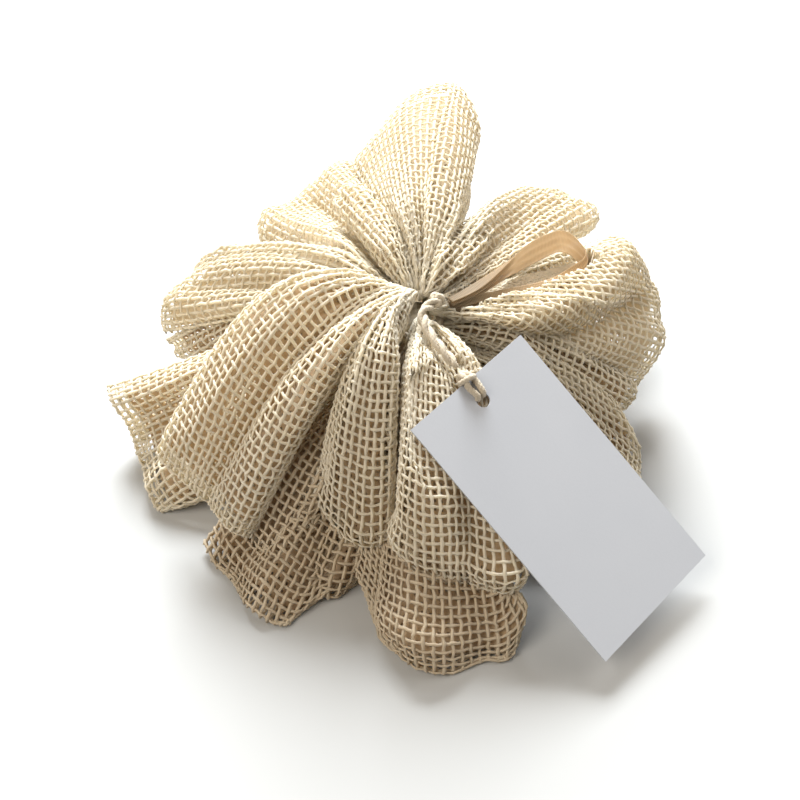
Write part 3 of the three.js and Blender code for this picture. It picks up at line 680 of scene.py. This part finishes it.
def makeLobe(lobe, seed):  # two sheets of net, thread by thread, with a lining between them
    dice = np.random.default_rng(seed + 500)
    dense = np.linspace(0, 1, 241)
    sheets, turn = lobeSheets(lobe, dense, np.full(241, 0.72), seed)
    us = evenPlaces(sheets[0], netDesign["cellAcross"])
    sheets, turn = lobeSheets(lobe, np.full(241, 0.5), dense, seed)
    vs = evenPlaces(sheets[0], netDesign["cellAlong"])
    u, v = np.meshgrid(us, vs, indexing="ij")
    (top, bottom), turn = lobeSheets(lobe, u, v, seed)
    for sheet in (top, bottom):  # no cell of real net is quite square
        across = unit(np.gradient(sheet, axis=0))
        along = unit(np.gradient(sheet, axis=1))
        wander = dice.normal(0, netDesign["wander"], u.shape + (2,))
        wander[0::2] *= 0.4
        wander[:, 0::2] *= 0.4
        wander[:, -1] = 0
        wander[[0, -1]] = 0
        sheet += wander[..., :1] * across + wander[..., 1:] * along
    top, bottom = keepClear(top), keepClear(bottom)

    # warps run from the root over the rim and back underneath
    warpTop, warpLow = top[1::2], bottom[1::2, -2::-1]
    paths = np.concatenate([warpTop, warpLow], 1)
    gradTop, gradLow = np.gradient(top, axis=0), np.gradient(bottom, axis=0)
    beside = np.concatenate([gradTop[1::2], gradLow[1::2, -2::-1]], 1)
    tangents = np.roll(paths, -1, 1) - np.roll(paths, 1, 1)
    outWarp = turn * unit(np.cross(tangents, beside))
    ring = np.concatenate([np.arange(len(vs)), np.arange(len(vs) - 2, -1, -1)])
    crossing = ring % 2 == 1
    sign = np.where((np.arange(len(paths))[:, None] + ring // 2) % 2 == 0, 1.0, -1.0) * crossing
    radius = netDesign["thread"] * dice.uniform(0.9, 1.1, paths.shape[:2])
    radius *= np.where(crossing, netDesign["knob"], 0.94)
    paths = paths + netDesign["weave"] * sign[..., None] * outWarp
    warps = sweepLoops(paths, outWarp, radius, netDesign["sides"])

    # wefts run round both sheets
    rows = np.arange(3, len(vs), 2)
    paths = np.concatenate([top[:, rows], bottom[-2:0:-1, rows]], 0).swapaxes(0, 1)
    gradTop, gradLow = np.gradient(top, axis=1), np.gradient(bottom, axis=1)
    beside = np.concatenate([gradTop[:, rows], gradLow[-2:0:-1, rows]], 0).swapaxes(0, 1)
    tangents = np.roll(paths, -1, 1) - np.roll(paths, 1, 1)
    outWeft = turn * unit(np.cross(beside, tangents))
    ring = np.concatenate([np.arange(len(us)), np.arange(len(us) - 2, 0, -1)])
    crossing = ring % 2 == 1
    sign = np.where((ring // 2 + rows[:, None] // 2) % 2 == 0, -1.0, 1.0) * crossing
    radius = 0.92 * netDesign["thread"] * dice.uniform(0.88, 1.12, paths.shape[:2])
    radius *= np.where(crossing, netDesign["knob"], 0.94)
    paths = paths + netDesign["weave"] * sign[..., None] * outWeft
    wefts = sweepLoops(paths, outWeft, radius, netDesign["sides"])

    makeLining(lobe, us, vs, seed)
    points, quads, uvs = joinSweeps([warps, wefts])
    # the low front lobes get the darker net, with painted shade
    material = shadedNetMaterial if lobe.get("inShade") else netMaterial
    piece = meshPiece("net_" + lobe["name"], place(points), quads, material, "thread", uvs)
    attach(piece, "pouf")
    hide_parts("lobe_" + lobe["name"])
    return len(quads) * 2


total = 0
for number, lobe in enumerate(lobeDesigns):
    total += makeLobe(lobe, number)
print("net lobes made, triangles:", total)

# strands of string with a helix of plies pressed into them
stringDesign = {"strand": 0.95, "pairPitch": 11, "plies": 3, "plyPitch": 3.4, "plyDepth": 0.13,
                "knotSize": 1.75, "knotTilt": 35, "knotStrand": 1.05, "sides": 15, "step": 0.35}


def steadyNormals(line, closed=False):  # normals carried along a line without twist
    if closed:
        tangents = unit(np.roll(line, -1, 0) - np.roll(line, 1, 0))
    else:
        tangents = unit(np.gradient(line, axis=0))
    first = np.cross(tangents[0], up if abs(tangents[0][2]) < 0.9 else (1.0, 0.0, 0.0))
    normals = [first / np.linalg.norm(first)]
    for tangent in tangents[1:]:
        carried = normals[-1] - normals[-1].dot(tangent) * tangent
        normals.append(carried / np.linalg.norm(carried))
    return tangents, np.array(normals)


def strand(line, radius, closed=False, phase=0.0):
    tangents, normals = steadyNormals(line, closed)
    beside = np.cross(tangents, normals)
    sides = stringDesign["sides"]
    steps = np.linalg.norm(np.diff(line, axis=0), axis=1)
    length = np.concatenate([[0], np.cumsum(steps)])
    angles = 2 * np.pi * np.arange(sides) / sides
    turn = 2 * np.pi * length[:, None] / stringDesign["plyPitch"] + phase
    wave = np.abs(np.sin(stringDesign["plies"] * (angles[None, :] - turn) / 2))
    radii = radius * (1 - 2 * stringDesign["plyDepth"] + 2 * stringDesign["plyDepth"] * wave)
    if not closed:  # the ends close in a round tip
        reach = np.minimum(length, length[-1] - length)
        radii = radii * np.sqrt(np.clip(reach / radius, 0.0004, 1))[:, None]
    ring = np.cos(angles)[:, None] * normals[:, None, :] + np.sin(angles)[:, None] * beside[:, None, :]
    points = (line[:, None, :] + radii[..., None] * ring).reshape(-1, 3)
    count = len(line)
    last = count if closed else count - 1
    j, k = np.meshgrid(np.arange(last), np.arange(sides), indexing="ij")
    after, turned = (j + 1) % count, (k + 1) % sides
    quads = np.stack([j * sides + k, j * sides + turned, after * sides + turned, after * sides + k], -1)
    v0 = length[j]
    v1 = np.where(j + 1 < count, length[np.minimum(j + 1, count - 1)], length[-1] + stringDesign["step"])
    uvs = np.stack([k / sides, v0, (k + 1) / sides, v0, (k + 1) / sides, v1, k / sides, v1], -1)
    return points, quads.reshape(-1, 4), uvs.reshape(-1, 4, 2)


def finishString(piece, body, node):
    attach(piece, body)
    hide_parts(node)
    return piece


def makeString():
    rough = smoothLine(stringRoute, 30)
    length = float(np.linalg.norm(np.diff(rough, axis=0), axis=1).sum())
    line = smoothLine(stringRoute, int(length / stringDesign["step"]))
    tangents, normals = steadyNormals(line)
    beside = np.cross(tangents, normals)
    at = np.linspace(0, length, len(line))
    strands = []
    for half in (0, 1):
        angle = (2 * np.pi * at / stringDesign["pairPitch"] + half * np.pi)[:, None]
        offset = 0.9 * stringDesign["strand"] * (np.cos(angle) * normals + np.sin(angle) * beside)
        strands.append(strand(line + offset, stringDesign["strand"], phase=half))
    points, quads, uvs = joinSweeps(strands)
    piece = meshPiece("twisted_string", place(points), quads, stringMaterial, "thread", uvs)
    return finishString(piece, "string", "tag_string"), place(line), length * mm


def makeKnot():
    t = np.linspace(0, 2 * np.pi, 161)[:-1]
    size = stringDesign["knotSize"]
    trefoil = np.stack([(2 + np.cos(3 * t)) * np.cos(2 * t), (2 + np.cos(3 * t)) * np.sin(2 * t),
                        1.5 * np.sin(3 * t)], -1) * size / 3
    tilt = math.radians(stringDesign["knotTilt"])
    lean = np.array([[1, 0, 0], [0, math.cos(tilt), -math.sin(tilt)], [0, math.sin(tilt), math.cos(tilt)]])
    line = trefoil @ lean.T + knotCentre
    points, quads, uvs = strand(line, stringDesign["knotStrand"], closed=True)
    piece = meshPiece("tied_knot", place(points), quads, stringMaterial, "thread", uvs)
    return finishString(piece, "pouf", "string_knot")


hitchDesign = {"spread": 1.25, "slack": 9.9, "inset": 1.3, "over": 1.45, "under": -1.5, "strand": 1.08,
               "around": 26, "wrapStrand": 0.95, "wrapSteps": 44}


def makeHitch():
    holeX = -cardDesign["length"] / 2 + cardDesign["holeInset"]
    far, near = holeX - hitchDesign["slack"], holeX - hitchDesign["inset"]
    over, under = hitchDesign["over"], hitchDesign["under"]
    strands = []
    for side in (-1, 1):
        y = side * hitchDesign["spread"]
        loop = [(far, 0.35 * y, 0.6), (far + 1.2, 0.7 * y, over + 0.5), (far + 4, 1.35 * y, over),
                (near - 1.2, y, over + 0.1), (near, 0.9 * y, 0.3), (near - 0.4, 0.9 * y, under + 0.3),
                (near - 2.5, y, under), (far + 2, y, under), (far + 0.2, 0.6 * y, under + 0.6)]
        line = onCard(smoothLine(loop, int(hitchDesign["around"] / stringDesign["step"]), closed=True))
        strands.append(strand(line, hitchDesign["strand"], closed=True, phase=side))
    wrap = [(far + 1.6, -2.4, 0.8), (far + 2.1, 0, over + 1.9), (far + 2.6, 2.4, 0.8),
            (far + 2.1, 0, under + 0.2)]
    line = onCard(smoothLine(wrap, hitchDesign["wrapSteps"], closed=True))
    strands.append(strand(line, hitchDesign["wrapStrand"], closed=True))
    points, quads, uvs = joinSweeps(strands)
    piece = meshPiece("hitch_loop", place(points), quads, stringMaterial, "thread", uvs)
    return finishString(piece, "hitch", "string_hitch")


string, stringPath, stringLength = makeString()
knot = makeKnot()
hitchLoop = makeHitch()
print("string, knot and hitch made, length", round(stringLength, 4))

waistDesign = {"radius": 6.0, "foot": 9, "top": 53.5, "pleats": 22, "depth": 0.9, "twist": 0.8, "rings": 49,
               "sides": 132, "bindTurns": 3, "bindRadius": 7.2, "bindStrand": 0.75, "bindHeight": 50,
               "bindStep": 0.8, "bindOver": 0.5}


def makeWaist():  # the squeezed net inside the binding
    rings = np.linspace(0, 1, waistDesign["rings"])
    sides = waistDesign["sides"]
    angles = 2 * np.pi * np.arange(sides) / sides
    height = waistDesign["foot"] + (waistDesign["top"] - waistDesign["foot"]) * rings
    closing = np.sqrt(np.clip(np.minimum(rings / 0.16, (1 - rings) / 0.06), 0.0004, 1))
    pinch = 1 - 0.18 * np.exp(-((height - waistDesign["bindHeight"]) / 3) ** 2)
    twist = waistDesign["twist"] * rings
    pleat = np.abs(np.sin(0.5 * waistDesign["pleats"] * (angles[None, :] + twist[:, None])))
    groove = waistDesign["depth"] * closing[:, None] * (1 - pleat)
    radius = (waistDesign["radius"] * closing * pinch)[:, None] - groove
    waist = np.array(netDesign["waist"], float)
    points = np.stack([waist[0] + radius * np.cos(angles), waist[1] + radius * np.sin(angles),
                       np.repeat(height[:, None], sides, 1)], -1).reshape(-1, 3)
    j, k = np.meshgrid(np.arange(len(rings) - 1), np.arange(sides), indexing="ij")
    turned = (k + 1) % sides
    quads = np.stack([j * sides + k, j * sides + turned, (j + 1) * sides + turned, (j + 1) * sides + k], -1)
    lengths = height[:, None] + 0 * angles
    uvs = np.stack([k * 0.25, lengths[j, k], (k + 1) * 0.25, lengths[j, k], (k + 1) * 0.25, lengths[j + 1, k],
                    k * 0.25, lengths[j + 1, k]], -1).reshape(-1, 4, 2)
    piece = meshPiece("gathered_waist", place(points), quads.reshape(-1, 4), netMaterial, "thread", uvs)
    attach(piece, "pouf")
    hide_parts("net_core")


def makeBinding():
    waist = np.array(netDesign["waist"], float)
    turns = []
    angles = np.linspace(0, 2 * np.pi, 97)[:-1]
    for turn in range(waistDesign["bindTurns"]):
        level = waistDesign["bindHeight"] + (turn - 1) * waistDesign["bindStep"]
        radius = waistDesign["bindRadius"] + (waistDesign["bindOver"] if turn == 1 else 0)
        line = np.stack([waist[0] + radius * np.cos(angles), waist[1] + radius * np.sin(angles),
                         level + 0.25 * np.sin(2 * angles + turn)], -1)
        turns.append(strand(line, waistDesign["bindStrand"], closed=True, phase=turn))
    points, quads, uvs = joinSweeps(turns)
    piece = meshPiece("binding_turns", place(points), quads, stringMaterial, "thread", uvs)
    finishString(piece, "pouf", "binding_cord")


makeWaist()
makeBinding()
print("waist and binding made")


def ribbonLine():  # the loop seen from above, a teardrop of four curves
    reach, half = ribbonDesign["reach"], ribbonDesign["half"]
    legs = [[(0.4, 0), (20, -0.6), (27.5, -half), (reach - 5, -half)],
            [(reach - 5, -half), (reach - 1, -half), (reach, -0.6 * half), (reach, 0)]]
    legs += [[(x, -y) for x, y in reversed(leg)] for leg in reversed(legs)]
    t = np.linspace(0, 1, 60, endpoint=False)[:, None]
    weights = ((1 - t) ** 3, 3 * (1 - t) ** 2 * t, 3 * (1 - t) * t ** 2, t ** 3)
    line = [sum(c * w for c, w in zip(np.array(leg)[:, None, :], weights)) for leg in legs]
    return np.vstack(line + [[(0.4, 0.0)]])


def makeRibbon():
    line = ribbonLine()
    at = np.concatenate([[0], np.cumsum(np.linalg.norm(np.diff(line, axis=0), axis=1))])
    count, rows = 240, 28
    wanted = np.linspace(0, at[-1], count)
    line = np.stack([np.interp(wanted, at, line[:, k]) for k in range(2)], -1)
    w = np.linspace(-1, 1, rows)
    near = wanted < 0.5 * at[-1]  # the leg toward the front stays gathered longer
    first = np.where(near, ribbonDesign["opensNear"][0], ribbonDesign["opensFar"][0])
    full = np.where(near, ribbonDesign["opensNear"][1], ribbonDesign["opensFar"][1])
    spread = np.clip((line[:, 0] - first) / (full - first), 0, 1)
    spread = spread * spread * (3 - 2 * spread)
    width = ribbonDesign["rootWidth"] + (ribbonDesign["width"] - ribbonDesign["rootWidth"]) * spread
    tangent = unit(np.gradient(line, axis=0))
    side = np.stack([-tangent[:, 1], tangent[:, 0]], -1)
    squeeze = np.sqrt(np.clip(1 - (width / ribbonDesign["width"]) ** 2, 0, 1))
    crumple = ribbonDesign["pleatDepth"] * squeeze[:, None] * np.sin(np.pi * ribbonDesign["pleats"] * w[None, :])
    crumple += 0.35 * np.sin(0.22 * wanted[:, None] + 1.5 * w[None, :]) * spread[:, None]
    crumple += 0.45 * np.sin(9 * w[None, :] + 0.12 * wanted[:, None]) * (1 - 0.7 * spread[:, None])
    flat = line[:, None, :] + crumple[..., None] * side[:, None, :]
    low = ribbonDesign["bottom"] + np.where(near, 0.2, 3.2 * (1 - spread) + 0.4)
    height = low[:, None] + (w[None, :] + 1) * width[:, None] / 2
    heading = math.radians(ribbonDesign["heading"])
    x = ribbonDesign["foot"][0] + flat[..., 0] * math.cos(heading) - flat[..., 1] * math.sin(heading)
    y = ribbonDesign["foot"][1] + flat[..., 0] * math.sin(heading) + flat[..., 1] * math.cos(heading)
    points = np.stack([x, y, height], -1).reshape(-1, 3)
    j, k = np.meshgrid(np.arange(count - 1), np.arange(rows - 1), indexing="ij")
    quads = np.stack([j * rows + k, j * rows + k + 1, (j + 1) * rows + k + 1, (j + 1) * rows + k], -1)
    u0, u1 = k / (rows - 1), (k + 1) / (rows - 1)
    uvs = np.stack([u0, wanted[j], u1, wanted[j], u1, wanted[j + 1], u0, wanted[j + 1]], -1)
    piece = meshPiece("sheer_ribbon", place(points), quads.reshape(-1, 4), ribbonMaterial, "tape",
                      uvs.reshape(-1, 4, 2))
    deselectAll()
    piece.select_set(True)
    bpy.context.view_layer.objects.active = piece
    shell = piece.modifiers.new("tapeThickness", "SOLIDIFY")
    shell.thickness = ribbonDesign["thick"] * mm
    shell.offset = 0
    bpy.ops.object.modifier_apply(modifier="tapeThickness")
    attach(piece, "ribbon")
    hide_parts("hanging_ribbon")


makeRibbon()
print("ribbon made")


def dressCard():
    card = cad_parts["tag_card"]
    for slot in card.material_slots:
        slot.material = cardMaterial


dressCard()
print("card dressed")
